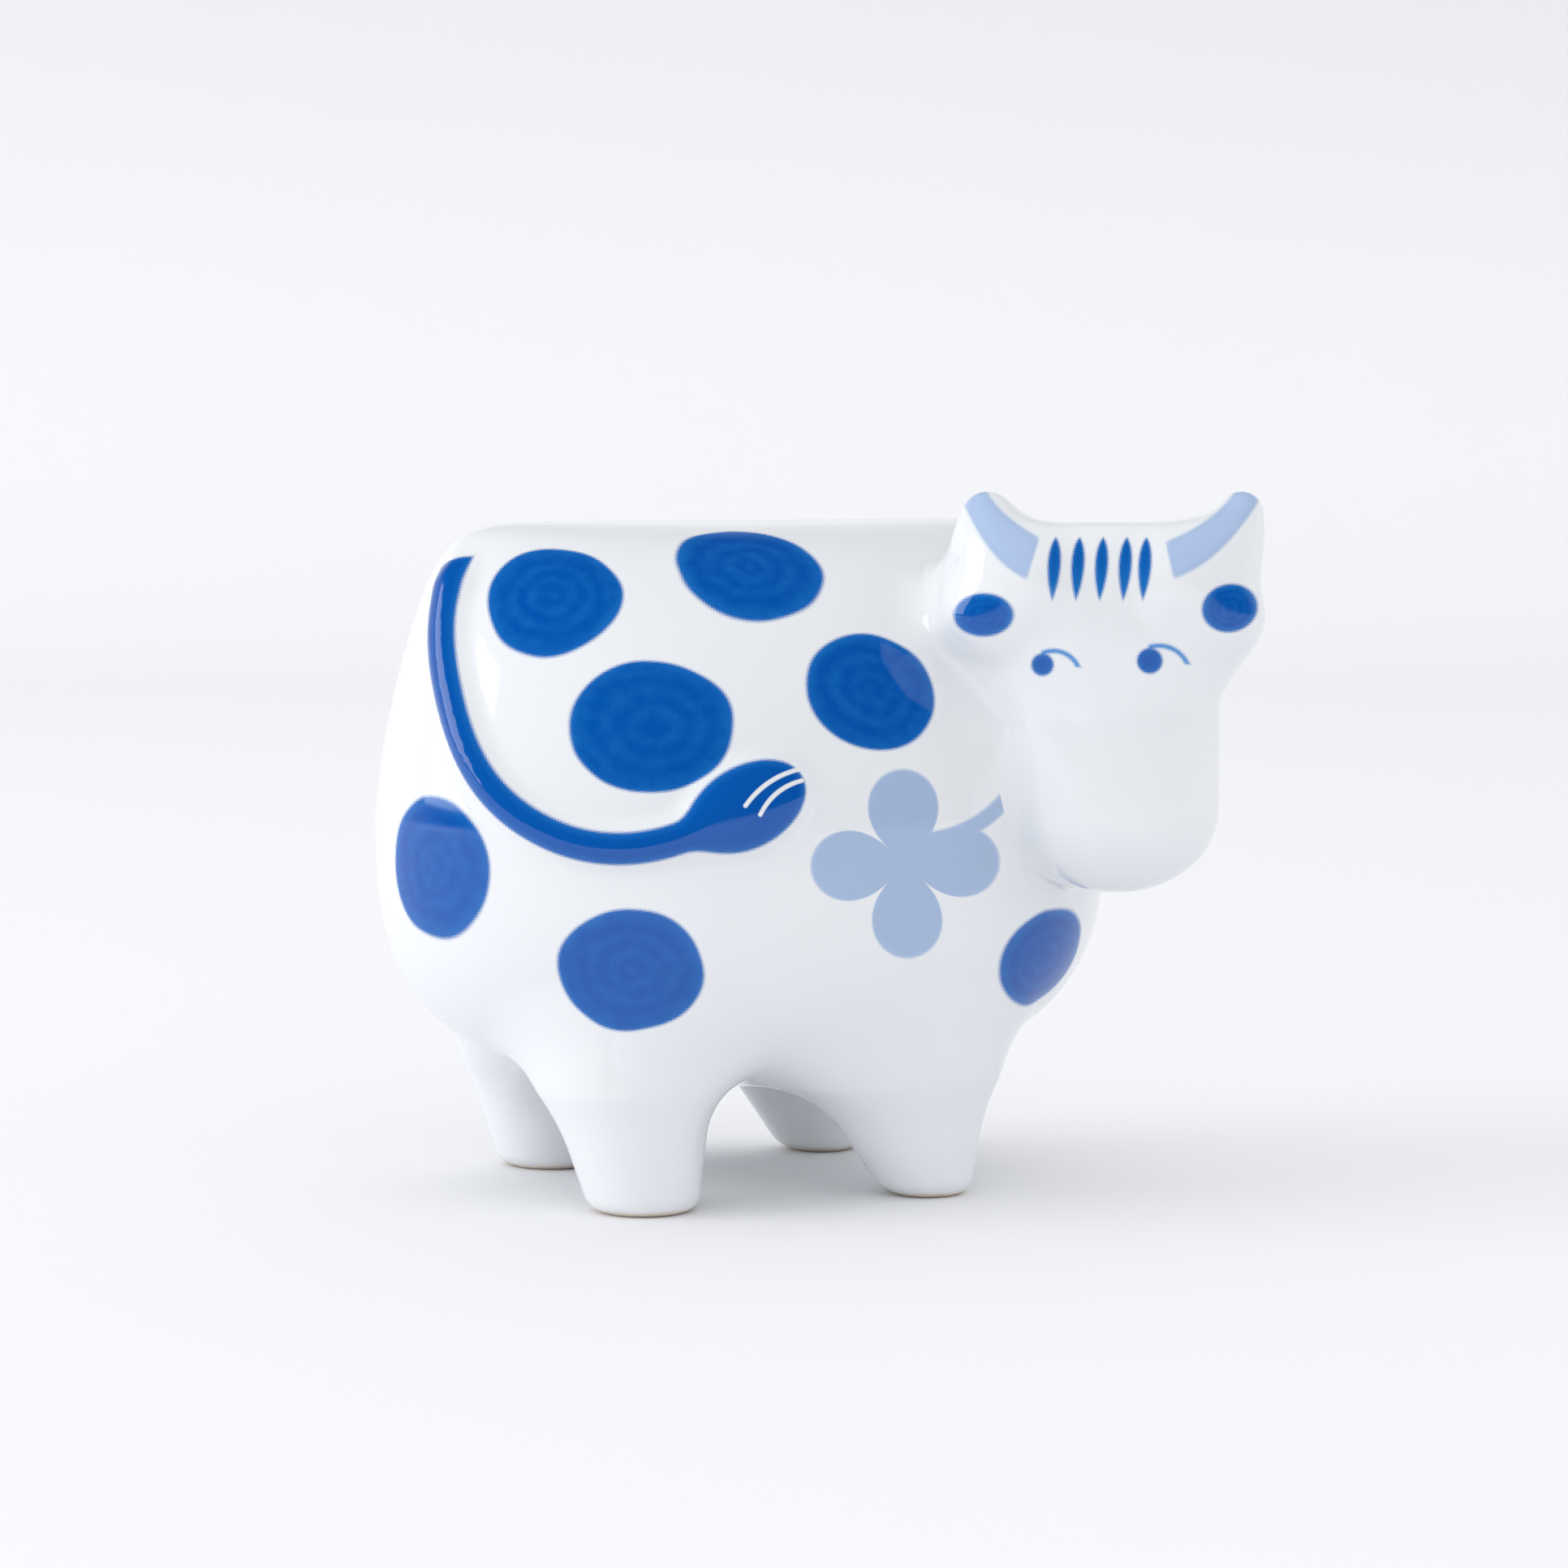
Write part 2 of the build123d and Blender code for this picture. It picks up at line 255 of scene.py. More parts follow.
def tailDistance(p):
    # flattened balls strung closely along the centre line
    best = np.full(len(p), 30.0)
    near = np.flatnonzero((p[:, 0] < 6) & (p[:, 1] < 8) & (p[:, 2] > 18))
    q, held = p[near], best[near]
    for c, n, half, relief in zip(tailLine, tailOut, tailHalf, tailRelief):
        v = q - c
        out = v @ n
        held = np.minimum(held, np.sqrt(np.maximum((v * v).sum(1) - out ** 2, 0) + (out * half / relief) ** 2) - half)
    best[near] = held
    return best


def partFields(p):
    bodyField = eggDistance(p)
    outer = np.clip(np.maximum(np.abs(p[:, 0]) - 10.5, np.abs(p[:, 1]) - 11.0) / 5, 0, 1)
    blend = legs["blend"][0] + (legs["blend"][1] - legs["blend"][0]) * outer * outer * (3 - 2 * outer)
    for end in (1, -1):
        for side in (1, -1):
            bodyField = smoothJoin(bodyField, legDistance(p, end, side), blend)
    headField = smoothJoin(asDistance(headShape, p), neckDistance(p), neck["blend"])
    fields = dict(torso=bodyField, head=headField, tail=tailDistance(p))
    for side, word in ((1, "left"), (-1, "right")):
        fields["horn_" + word] = hornDistance(p, side)
        fields["ear_" + word] = earDistance(p, side)
    return fields


def skinField(p):
    # everything joined under one glaze, then the vent bored into the belly
    f = partFields(p)
    whole = f["head"]
    for word in ("left", "right"):
        whole = smoothJoin(smoothJoin(whole, f["horn_" + word], horns["blend"]), f["ear_" + word], ears["blend"])
    high = np.clip((p[:, 2] - 37) / 6, 0, 1)
    nape = head["blend"] + (neck["nape"] - head["blend"]) * high * high * (3 - 2 * high)
    whole = smoothJoin(smoothJoin(f["torso"], whole, nape), f["tail"], tail["blend"])
    bore = np.maximum(np.hypot(p[:, 0], p[:, 1]) - body["ventRadius"], p[:, 2] - body["ventTop"])
    return smoothTrim(whole, -bore, 0.5)


def netSurface(low, high, step):
    # surface net: one vertex in each grid cell that the skin crosses, one quad round each crossed grid edge
    low = np.array(low, float)
    counts = 4 * np.ceil((np.array(high) - low) / step / 4).astype(int)

    def lattice(axes):
        return np.stack(np.meshgrid(*axes, indexing="ij"), -1).reshape(-1, 3)

    coarse = skinField(lattice([low[k] + 4 * step * np.arange(counts[k] // 4 + 1) for k in range(3)]))
    nearest = [np.rint(np.arange(n + 1) / 4).astype(int) for n in counts]
    values = coarse.reshape(counts // 4 + 1)[np.ix_(*nearest)]
    points = lattice([low[k] + step * np.arange(counts[k] + 1) for k in range(3)])
    band = np.flatnonzero(np.abs(values.ravel()) < 3.2)
    values = values.ravel()
    values[band] = skinField(points[band])
    values = values.reshape(counts + 1)
    total, hits = np.zeros((*counts, 3)), np.zeros(counts)
    quads = []
    index = np.full(counts, -1)
    for axis in range(3):
        b, c = (axis + 1) % 3, (axis + 2) % 3
        for s in (0, 1):
            for t in (0, 1):
                start = np.zeros(3, int)
                start[b], start[c] = s, t
                end = start + np.eye(3, dtype=int)[axis]
                v0 = values[tuple(slice(o, o + n) for o, n in zip(start, counts))]
                v1 = values[tuple(slice(o, o + n) for o, n in zip(end, counts))]
                crossed = (v0 < 0) != (v1 < 0)
                share = np.where(crossed, v0 / np.where(crossed, v0 - v1, 1), 0)
                total += crossed[..., None] * start
                total[..., axis] += share
                hits += crossed
    cells = np.argwhere(hits > 0)
    index[tuple(cells.T)] = np.arange(len(cells))
    verts = low + step * (cells + total[tuple(cells.T)] / hits[tuple(cells.T)][:, None])
    for axis in range(3):
        b, c = (axis + 1) % 3, (axis + 2) % 3
        inside = np.swapaxes(values, 0, axis) < 0
        spots = np.argwhere(inside[:-1] != inside[1:])
        outward = inside[tuple(spots.T)]
        spots[:, [0, axis]] = spots[:, [axis, 0]]
        ring = []
        for ob, oc in ((-1, -1), (0, -1), (0, 0), (-1, 0)):
            cell = spots.copy()
            cell[:, b] += ob
            cell[:, c] += oc
            ring.append(index[tuple(cell.T)])
        ring = np.stack(ring, 1)
        quads.append(np.where(outward[:, None], ring, ring[:, ::-1]))
    quads = np.concatenate(quads)
    corner = verts[quads]
    short = (np.linalg.norm(corner[:, 0] - corner[:, 2], axis=1) < np.linalg.norm(corner[:, 1] - corner[:, 3], axis=1))
    first = np.where(short[:, None], quads[:, [0, 1, 2]], quads[:, [0, 1, 3]])
    second = np.where(short[:, None], quads[:, [0, 2, 3]], quads[:, [1, 2, 3]])
    return verts, np.concatenate([first, second])


def skinSlope(p):
    return np.stack([skinField(p + step) - skinField(p - step) for step in 0.03 * np.eye(3)], 1) / 0.06


def settle(p, rounds=2):
    # walks points along the field's slope onto the skin
    for turn in range(rounds):
        slope = skinSlope(p)
        p = p - slope * (skinField(p) / np.maximum((slope * slope).sum(1), 0.04))[:, None]
    return p


def splitAt(verts, tris, labels, chosen, score, name):
    # cuts the triangles where the score at their corners changes sign; within one label the negative side gets a new name
    mine = labels == chosen
    side = score[tris] < 0
    count = side.sum(1)
    labels = np.where(mine & (count == 3), name, labels)
    cut = np.flatnonzero((count > 0) & (count < 3))
    lone = np.where(count[cut] == 1, side[cut].argmax(1), (~side[cut]).argmax(1))
    order = (lone[:, None] + np.arange(3)) % 3
    a, b, c = np.take_along_axis(tris[cut], order, 1).T
    pairs = np.sort(np.concatenate([np.stack([a, b], 1), np.stack([a, c], 1)]), axis=1)
    unique, back = np.unique(pairs, axis=0, return_inverse=True)
    back = back.ravel()
    s0, s1 = score[unique[:, 0]], score[unique[:, 1]]
    share = np.clip(s0 / (s0 - s1), 0.02, 0.98)[:, None]
    fresh = settle(verts[unique[:, 0]] * (1 - share) + verts[unique[:, 1]] * share, 1)
    ab, ac = len(verts) + back[:len(cut)], len(verts) + back[len(cut):]
    loneInside = count[cut] == 1
    tip = np.stack([a, ab, ac], 1)
    rest = np.concatenate([np.stack([ab, b, c], 1), np.stack([ab, c, ac], 1)])
    keep = np.ones(len(tris), bool)
    keep[cut] = False
    tipLabel = np.where(mine[cut], np.where(loneInside, name, chosen), labels[cut])
    restLabel = np.tile(np.where(mine[cut], np.where(loneInside, chosen, name), labels[cut]), 2)
    return (np.concatenate([verts, fresh]), np.concatenate([tris[keep], tip, rest]),
            np.concatenate([labels[keep], tipLabel, restLabel]))


def buildSkin():
    verts, tris = netSurface((-29, -30, -1), (34, 23, 53), netStep)
    print("skin net", len(verts), "vertices")
    verts = settle(verts, 3)
    labels = np.full(len(tris), "torso", dtype="<U16")
    cuts = [("torso", "tail"), ("torso", "head"), ("head", "horn_left"), ("head", "horn_right"),
            ("head", "ear_left"), ("head", "ear_right")]
    for chosen, name in cuts:
        f = partFields(verts)
        if name == "head":
            score = np.minimum.reduce([f[key] for key in f if key not in ("torso", "tail")]) - f["torso"]
        else:
            score = f[name] - f[chosen]
        verts, tris, labels = splitAt(verts, tris, labels, chosen, score, name)
    verts, tris, labels = splitAt(verts, tris, labels, "torso", verts[:, 2] - legs["seam"], "leg")
    middle = verts[tris].mean(1)
    for end, endWord in ((1, "front"), (-1, "rear")):
        for side, sideWord in ((1, "left"), (-1, "right")):
            here = (labels == "leg") & (middle[:, 0] * end > 0) & (middle[:, 1] * side > 0)
            labels[here] = f"leg_{endWord}_{sideWord}"
    normals = skinSlope(verts)
    return verts, tris, labels, normals / np.linalg.norm(normals, axis=1)[:, None]


skinVerts, skinTris, skinLabels, skinNormals = buildSkin()
print("skin cut into", dict(zip(*np.unique(skinLabels, return_counts=True))))


def tailPlace(p):
    # where a point lies on the tail: millimetres along its line, and outside its footprint on the flank
    near = np.flatnonzero(tailDistance(p) < 4)
    q, along, aside = p[near], np.zeros(len(near)), np.full(len(near), 4.0)
    for c, run, n, reach, half in zip(tailLine, tailRun, tailOut, tailAlong, tailHalf):
        v = q - c
        off = np.sqrt(np.maximum((v * v).sum(1) - (v @ n) ** 2, 0)) - half
        along = np.where(off < aside, reach + v @ run, along)
        aside = np.minimum(aside, off)
    place = np.tile((0.0, 4.0, 0.0), (len(p), 1))
    place[near, 0], place[near, 1] = along, aside
    return place


def capTriangles():
    # closes every cut: a fan to the middle of the cut, and under the tail a copy of it laid on the flank
    global skinVerts, skinNormals
    edges = np.concatenate([skinTris[:, [0, 1]], skinTris[:, [1, 2]], skinTris[:, [2, 0]]])
    owner = np.tile(np.arange(len(skinTris)), 3)
    key = np.sort(edges, 1) @ np.array([len(skinVerts) + 1, 1])
    order = np.argsort(key, kind="stable")
    one, two = order[0::2], order[1::2]
    assert (key[one] == key[two]).all()
    differ = skinLabels[owner[one]] != skinLabels[owner[two]]
    one, two = one[differ], two[differ]
    caps = {name: [] for name in np.unique(skinLabels)}
    names = np.stack([skinLabels[owner[one]], skinLabels[owner[two]]], 1)
    extra, count = [], len(skinVerts)
    for pair in np.unique(np.sort(names, 1), axis=0):
        here = (np.sort(names, 1) == pair).all(1)
        swap = here & (names[:, 0] != pair[0])
        rim = np.concatenate([edges[one[here & ~swap]], edges[two[swap]]])
        if "tail" in pair:
            mine = np.unique(skinTris[skinLabels == "tail"])
            loose = np.setdiff1d(mine, rim)
            under = np.arange(len(skinVerts))
            under[loose] = count + np.arange(len(loose))
            spot = skinVerts[loose]
            for turn in range(3):
                slope = np.stack([eggShape(spot + s) - eggShape(spot - s) for s in 0.02 * np.eye(3)], 1) / 0.04
                spot = spot - slope * ((asDistance(eggShape, spot) + 0.1) / np.linalg.norm(slope, axis=1))[:, None]
            patch = under[skinTris[skinLabels == "tail"]]
            caps["torso"].append(patch)
            caps["tail"].append(patch[:, ::-1])
            extra.append(spot)
            count += len(loose)
            continue
        center = np.full(len(rim), count)
        caps[pair[0]].append(np.stack([rim[:, 1], rim[:, 0], center], 1))
        caps[pair[1]].append(np.stack([rim[:, 0], rim[:, 1], center], 1))
        extra.append(skinVerts[np.unique(rim)].mean(0)[None])
        count += 1
    skinVerts = np.concatenate([skinVerts, *extra])
    skinNormals = np.concatenate([skinNormals, np.zeros((len(skinVerts) - len(skinNormals), 3))])
    return {name: np.concatenate(found) for name, found in caps.items()}


skinCaps = capTriangles()


def makePiece(node):
    outer, caps = skinTris[skinLabels == node], skinCaps[node]
    tris = np.concatenate([outer, caps])
    used, local = np.unique(tris, return_inverse=True)
    local = local.reshape(tris.shape)
    spots = skinVerts[used]
    mesh = bpy.data.meshes.new(node + "_glazed")
    mesh.vertices.add(len(used))
    mesh.vertices.foreach_set("co", (spots * 0.001 + stand).astype(np.float32).ravel())
    mesh.loops.add(local.size)
    mesh.loops.foreach_set("vertex_index", local.astype(np.int32).ravel())
    mesh.polygons.add(len(tris))
    mesh.polygons.foreach_set("loop_start", np.arange(0, local.size, 3, dtype=np.int32))
    mesh.update(calc_edges=True)
    mesh.validate()
    mesh.polygons.foreach_set("use_smooth", np.ones(len(tris), bool))
    corner = skinVerts[caps]
    flat = np.cross(corner[:, 1] - corner[:, 0], corner[:, 2] - corner[:, 0])
    flat /= np.maximum(np.linalg.norm(flat, axis=1), 1e-9)[:, None]
    mesh.normals_split_custom_set(np.concatenate([skinNormals[outer].reshape(-1, 3), np.repeat(flat, 3, 0)]))
    if node in ("torso", "tail"):
        place = mesh.attributes.new("tailPlace", "FLOAT_VECTOR", "POINT")
        place.data.foreach_set("vector", tailPlace(spots).astype(np.float32).ravel())
    piece = bpy.data.objects.new(node + "_glazed", mesh)
    bpy.context.scene.collection.objects.link(piece)
    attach(piece, "root")
    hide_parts(node)
    return piece


pieces = {node: makePiece(node) for node in frame["nodes"]}
print("pieces", {name: len(piece.data.polygons) for name, piece in pieces.items()})

# Prints are laid on square to this view of the right flank; places are millimetres right and up of the soles' middle
sight = dict(azimuth=-20.0, elevation=4.7, distance=350.0, aim=(3.54, 29.1))
az, el = np.radians(sight["azimuth"]), np.radians(sight["elevation"])
sightRight = np.array([np.cos(az), np.sin(az), 0])
sightBack = np.array([np.sin(az) * np.cos(el), -np.cos(az) * np.cos(el), np.sin(el)])
sightUp = np.cross(sightBack, sightRight)

colors = dict(glaze=(0.80, 0.822, 0.838), cobalt=(0.0, 0.082, 0.385), cobaltPale=(0.02, 0.22, 0.60),
              pale=(0.36, 0.47, 0.66), paleHorn=(0.41, 0.53, 0.75), lash=(0.08, 0.28, 0.62), clay=(0.74, 0.67, 0.58))
spots = [dict(at=(-13.6, 43.0), half=(5.1, 4.2), turn=4), dict(at=(0.98, 45.15), half=(5.65, 3.5), turn=-12),
         dict(at=(-6.2, 33.5), half=(6.15, 4.85), turn=0), dict(at=(10.0, 36.2), half=(5.0, 4.15), turn=-25),
         dict(at=(-7.8, 15.4), half=(5.35, 4.4), turn=-6), dict(at=(-22.35, 23.0), half=(3.75, 5.4), turn=8),
         dict(at=(22.9, 16.2), half=(2.8, 4.25), turn=-36)]
farSpots = [dict(at=(-16.5, 38.6), half=(5.0, 4.1), turn=6), dict(at=(-3.4, 42.6), half=(5.3, 3.8), turn=-8),
            dict(at=(7.4, 34.2), half=(5.7, 4.9), turn=12), dict(at=(-8.8, 28.8), half=(5.9, 4.8), turn=-5),
            dict(at=(17.6, 40.2), half=(4.3, 3.7), turn=0), dict(at=(-21.2, 23.6), half=(3.6, 5.0), turn=-10),
            dict(at=(16.2, 22.4), half=(4.7, 5.2), turn=20), dict(at=(1.8, 17.6), half=(5.2, 4.2), turn=8)]
clover = dict(at=(12.5, 23.2), reach=7.0, turn=2.0, stem=((14.2, 25.0), (20.6, 28.9)), stemSag=0.9)
stripes = [dict(at=(x, 45.0), half=(0.52, 2.35), lean=0.06) for x in (23.5, 25.25, 27.0, 28.75, 30.2)]
eyes = [dict(at=(22.65, 37.92), radius=0.85, lash=(0.8, -1.0, 2.02)),
        dict(at=(30.58, 38.2), radius=0.97, lash=(0.68, -1.2, 2.32))]
hornPaint = [dict(arc=((17.5, 50.6), (19.2, 48.0), (21.9, 45.8)), halves=(1.0, 1.62), end=((22.5, 47.46), (0.957, -0.297))),
             dict(arc=((37.9, 50.6), (35.7, 47.9), (31.9, 45.6)), halves=(0.95, 1.42), end=((31.76, 46.9), (-0.979, -0.21)))]
earPaint = [dict(at=(18.3, 41.6), half=(2.25, 1.62), turn=0), dict(at=(36.5, 42.1), half=(2.1, 1.8), turn=12)]
streaks = [((0.7, 27.5), (4.7, 30.2)), ((1.8, 26.85), (4.85, 29.35))]


def onSkin(start, way):
    # where a ray from outside first meets the skin, and which way the skin faces there
    spot = np.array(start, float)[None]
    for turn in range(60):
        spot = spot + 0.7 * skinField(spot)[:, None] * way
    slope = skinSlope(spot)[0]
    return spot[0], slope / np.linalg.norm(slope)


def layDecal(spot, start, way, right, up):
    # rows that turn a place on the skin into shares of the spot's half sizes, as seen along the ray at its middle
    middle, out = onSkin(start, way)
    c, s = np.cos(np.radians(spot["turn"])), np.sin(np.radians(spot["turn"]))
    rows = [(right * c + up * s) / spot["half"][0], (up * c - right * s) / spot["half"][1]]
    spot["rows"] = [1000 * (row - out * (row @ out)) for row in rows]
    spot["middle"], spot["out"] = middle * 0.001 + stand, out


lens = sightBack * sight["distance"] + sightRight * sight["aim"][0] + sightUp * sight["aim"][1]
for spot in spots:
    ray = sightRight * spot["at"][0] + sightUp * spot["at"][1] - lens
    ray /= np.linalg.norm(ray)
    near = lens + ray * (sight["distance"] - 45)
    scale = sight["distance"] / (sight["distance"] - 20)
    layDecal(spot, near, ray, sightRight * scale, sightUp * scale)
for spot in farSpots:
    layDecal(spot, (spot["at"][0], 30, spot["at"][1]), np.array((0, -1, 0)), np.array((1, 0, 0)), np.array((0, 0, 1)))


class Paint:
    # small helper that lays shader nodes of one material from plain expressions
    def __init__(self, name):
        self.material = bpy.data.materials.new(name)
        self.material.use_nodes = True
        self.tree = self.material.node_tree
        self.tree.nodes.clear()
        self.out = self.tree.nodes.new("ShaderNodeOutputMaterial")
        self.shader = self.tree.nodes.new("ShaderNodeBsdfPrincipled")
        self.tree.links.new(self.shader.outputs[0], self.out.inputs[0])
        self.coords = self.tree.nodes.new("ShaderNodeTexCoord").outputs["Object"]
        self.normal = self.tree.nodes.new("ShaderNodeNewGeometry").outputs["Normal"]

    def put(self, socket, value):
        if isinstance(value, bpy.types.NodeSocket):
            self.tree.links.new(value, socket)
        else:
            socket.default_value = value

    def math(self, operation, a, b=0.0, c=0.0):
        node = self.tree.nodes.new("ShaderNodeMath")
        node.operation = operation
        for socket, value in zip(node.inputs, (a, b, c)):
            self.put(socket, value)
        return node.outputs[0]

    def dot(self, a, vector):
        node = self.tree.nodes.new("ShaderNodeVectorMath")
        node.operation = "DOT_PRODUCT"
        self.put(node.inputs[0], a)
        node.inputs[1].default_value = vector
        return node.outputs["Value"]

    def step(self, value, low, high, a=0.0, b=1.0):
        node = self.tree.nodes.new("ShaderNodeMapRange")
        node.interpolation_type = "SMOOTHSTEP"
        for socket, given in zip(node.inputs, (value, low, high, a, b)):
            self.put(socket, given)
        return node.outputs[0]

    def mix(self, factor, a, b):
        node = self.tree.nodes.new("ShaderNodeMix")
        node.data_type = "RGBA"
        self.put(node.inputs[0], factor)
        for socket, value in ((node.inputs[6], a), (node.inputs[7], b)):
            self.put(socket, value if isinstance(value, bpy.types.NodeSocket) else (*value, 1.0))
        return node.outputs[2]

    def noise(self, scale, detail=2.0, offset=(0, 0, 0)):
        moved = self.tree.nodes.new("ShaderNodeVectorMath")
        self.put(moved.inputs[0], self.coords)
        moved.inputs[1].default_value = offset
        node = self.tree.nodes.new("ShaderNodeTexNoise")
        self.put(node.inputs["Vector"], moved.outputs[0])
        node.inputs["Scale"].default_value = scale
        node.inputs["Detail"].default_value = detail
        return node.outputs["Fac"]

    def place(self):
        # millimetres right and up of the soles' middle in the print's view, with its slight perspective
        moved = self.tree.nodes.new("ShaderNodeVectorMath")
        moved.operation = "SUBTRACT"
        self.put(moved.inputs[0], self.coords)
        moved.inputs[1].default_value = stand
        here = moved.outputs[0]
        depth = self.math("SUBTRACT", 1.0, self.dot(here, sightBack * 1000 / sight["distance"]))
        across = self.math("SUBTRACT", self.dot(here, sightRight * 1000), sight["aim"][0])
        up = self.math("SUBTRACT", self.dot(here, sightUp * 1000), sight["aim"][1])
        return (self.math("ADD", self.math("DIVIDE", across, depth), sight["aim"][0]),
                self.math("ADD", self.math("DIVIDE", up, depth), sight["aim"][1]))

    def turned(self, u, v, at, turn):
        c, s = np.cos(np.radians(turn)), np.sin(np.radians(turn))
        du, dv = self.math("SUBTRACT", u, at[0]), self.math("SUBTRACT", v, at[1])
        return (self.math("ADD", self.math("MULTIPLY", du, c), self.math("MULTIPLY", dv, s)),
                self.math("SUBTRACT", self.math("MULTIPLY", dv, c), self.math("MULTIPLY", du, s)))

    def oval(self, u, v, at, half, turn=0.0):
        # share of the way from an oval's middle to its rim, and millimetres outside the rim
        a, b = self.turned(u, v, at, turn)
        a, b = self.math("DIVIDE", a, half[0]), self.math("DIVIDE", b, half[1])
        share = self.math("SQRT", self.math("ADD", self.math("MULTIPLY", a, a), self.math("MULTIPLY", b, b)))
        return share, self.math("MULTIPLY", self.math("SUBTRACT", share, 1.0), min(half))

    def decal(self, spot):
        # the same on the skin itself, square to it at the spot's middle
        moved = self.tree.nodes.new("ShaderNodeVectorMath")
        moved.operation = "SUBTRACT"
        self.put(moved.inputs[0], self.coords)
        moved.inputs[1].default_value = spot["middle"]
        a, b = self.dot(moved.outputs[0], spot["rows"][0]), self.dot(moved.outputs[0], spot["rows"][1])
        share = self.math("SQRT", self.math("ADD", self.math("MULTIPLY", a, a), self.math("MULTIPLY", b, b)))
        edge = self.math("MULTIPLY", self.math("SUBTRACT", share, 1.0), min(spot["half"]))
        deep = self.math("SUBTRACT", self.math("ABSOLUTE", self.dot(moved.outputs[0], spot["out"] * 1000)), 6.0)
        away = self.step(self.dot(self.normal, spot["out"]), 0.25, 0.3, 5.0, -50.0)
        return share, self.math("MAXIMUM", self.math("MAXIMUM", edge, deep), away)

    def segment(self, u, v, a, b, sag=0.0):
        # millimetres to a line between two places, straight or sagging like a shallow parabola
        run = np.subtract(b, a)
        du, dv = self.math("SUBTRACT", u, a[0]), self.math("SUBTRACT", v, a[1])
        t = self.math("ADD", self.math("MULTIPLY", du, run[0] / (run @ run)), self.math("MULTIPLY", dv, run[1] / (run @ run)))
        node = self.tree.nodes.new("ShaderNodeClamp")
        self.put(node.inputs[0], t)
        t = node.outputs[0]
        bow = self.math("MULTIPLY", self.math("MULTIPLY", t, self.math("SUBTRACT", 1.0, t)), 4 * sag / np.linalg.norm(run))
        x = self.math("SUBTRACT", du, self.math("MULTIPLY_ADD", bow, run[1], self.math("MULTIPLY", t, run[0])))
        y = self.math("SUBTRACT", dv, self.math("MULTIPLY_ADD", bow, -run[0], self.math("MULTIPLY", t, run[1])))
        return self.math("SQRT", self.math("ADD", self.math("MULTIPLY", x, x), self.math("MULTIPLY", y, y))), t

    def band(self, u, v, arc, halves, end):
        # millimetres outside a band along a circle through three places, wider towards its cut end
        (ax, ay), (bx, by), (cx, cy) = arc
        middle = np.linalg.solve([[bx - ax, by - ay], [cx - ax, cy - ay]],
                                 [(bx**2 - ax**2 + by**2 - ay**2) / 2, (cx**2 - ax**2 + cy**2 - ay**2) / 2])
        du, dv = self.math("SUBTRACT", u, middle[0]), self.math("SUBTRACT", v, middle[1])
        far = self.math("SQRT", self.math("ADD", self.math("MULTIPLY", du, du), self.math("MULTIPLY", dv, dv)))
        off = self.math("ABSOLUTE", self.math("SUBTRACT", far, np.hypot(ax - middle[0], ay - middle[1])))
        half = self.step(self.segment(u, v, arc[0], arc[2])[1], 0.0, 1.0, *halves)
        (ex, ey), (nx, ny) = end
        past = self.math("ADD", self.math("MULTIPLY", self.math("SUBTRACT", u, ex), nx),
                         self.math("MULTIPLY", self.math("SUBTRACT", v, ey), ny))
        return self.math("SMOOTH_MAX", self.math("SUBTRACT", off, half), past, 0.5)

    def nearest(self, values):
        least = values[0]
        for value in values[1:]:
            least = self.math("MINIMUM", least, value)
        return least


def glaze(paint, color):
    # clear glossy glaze over what is printed, faintly wavy, and bare clay round the soles
    height = paint.dot(paint.coords, (0, 0, 1000))
    foot = paint.step(paint.math("ADD", height, paint.math("MULTIPLY", paint.noise(900), 0.25)), 0.42, 0.60)
    paint.put(paint.shader.inputs["Base Color"], paint.mix(foot, colors["clay"], color))
    paint.put(paint.shader.inputs["Roughness"], paint.math("SUBTRACT", 0.6, paint.math("MULTIPLY", foot, 0.53)))
    paint.shader.inputs["IOR"].default_value = 1.5
    bump = paint.tree.nodes.new("ShaderNodeBump")
    bump.inputs["Strength"].default_value = 0.12
    bump.inputs["Distance"].default_value = 0.00006
    paint.put(bump.inputs["Height"], paint.noise(170, 2.0))
    paint.put(paint.shader.inputs["Normal"], bump.outputs[0])
    return paint.material


def printed(paint, below, edge, ink, inkPale, screen, share=None):
    # transfer print: dot screen along its edge, paler rim, brush rings inside
    ragged = paint.math("ADD", edge, paint.math("MULTIPLY", screen, 0.05))
    rim = paint.step(edge, -0.7, 0.05)
    tone = paint.math("MULTIPLY", rim, 0.35)
    if share is not None:
        swirl = paint.math("MULTIPLY_ADD", paint.noise(260, 2.0), 5.0, paint.math("MULTIPLY", share, 21.0))
        tone = paint.math("MULTIPLY_ADD", paint.math("SINE", swirl), 0.06, tone)
        tone = paint.math("ADD", tone, paint.step(paint.noise(1000, 3.0), 0.3, 0.75, -0.02, 0.12))
    tone = paint.math("ADD", tone, paint.math("MULTIPLY", paint.math("ADD", screen, 1.0), 0.03))
    return paint.mix(paint.step(ragged, -0.18, 0.15, 1.0, 0.0), below, paint.mix(tone, ink, inkPale))


def dotScreen(paint, u, v):
    # fine diagonal halftone of the transfer, a quarter millimetre apart
    pitch, angle = 0.26, np.radians(-37)
    c, s = np.cos(angle) * 2 * np.pi / pitch, np.sin(angle) * 2 * np.pi / pitch
    one = paint.math("SINE", paint.math("ADD", paint.math("MULTIPLY", u, c), paint.math("MULTIPLY", v, s)))
    two = paint.math("SINE", paint.math("SUBTRACT", paint.math("MULTIPLY", v, c), paint.math("MULTIPLY", u, s)))
    return paint.math("MULTIPLY", one, two)


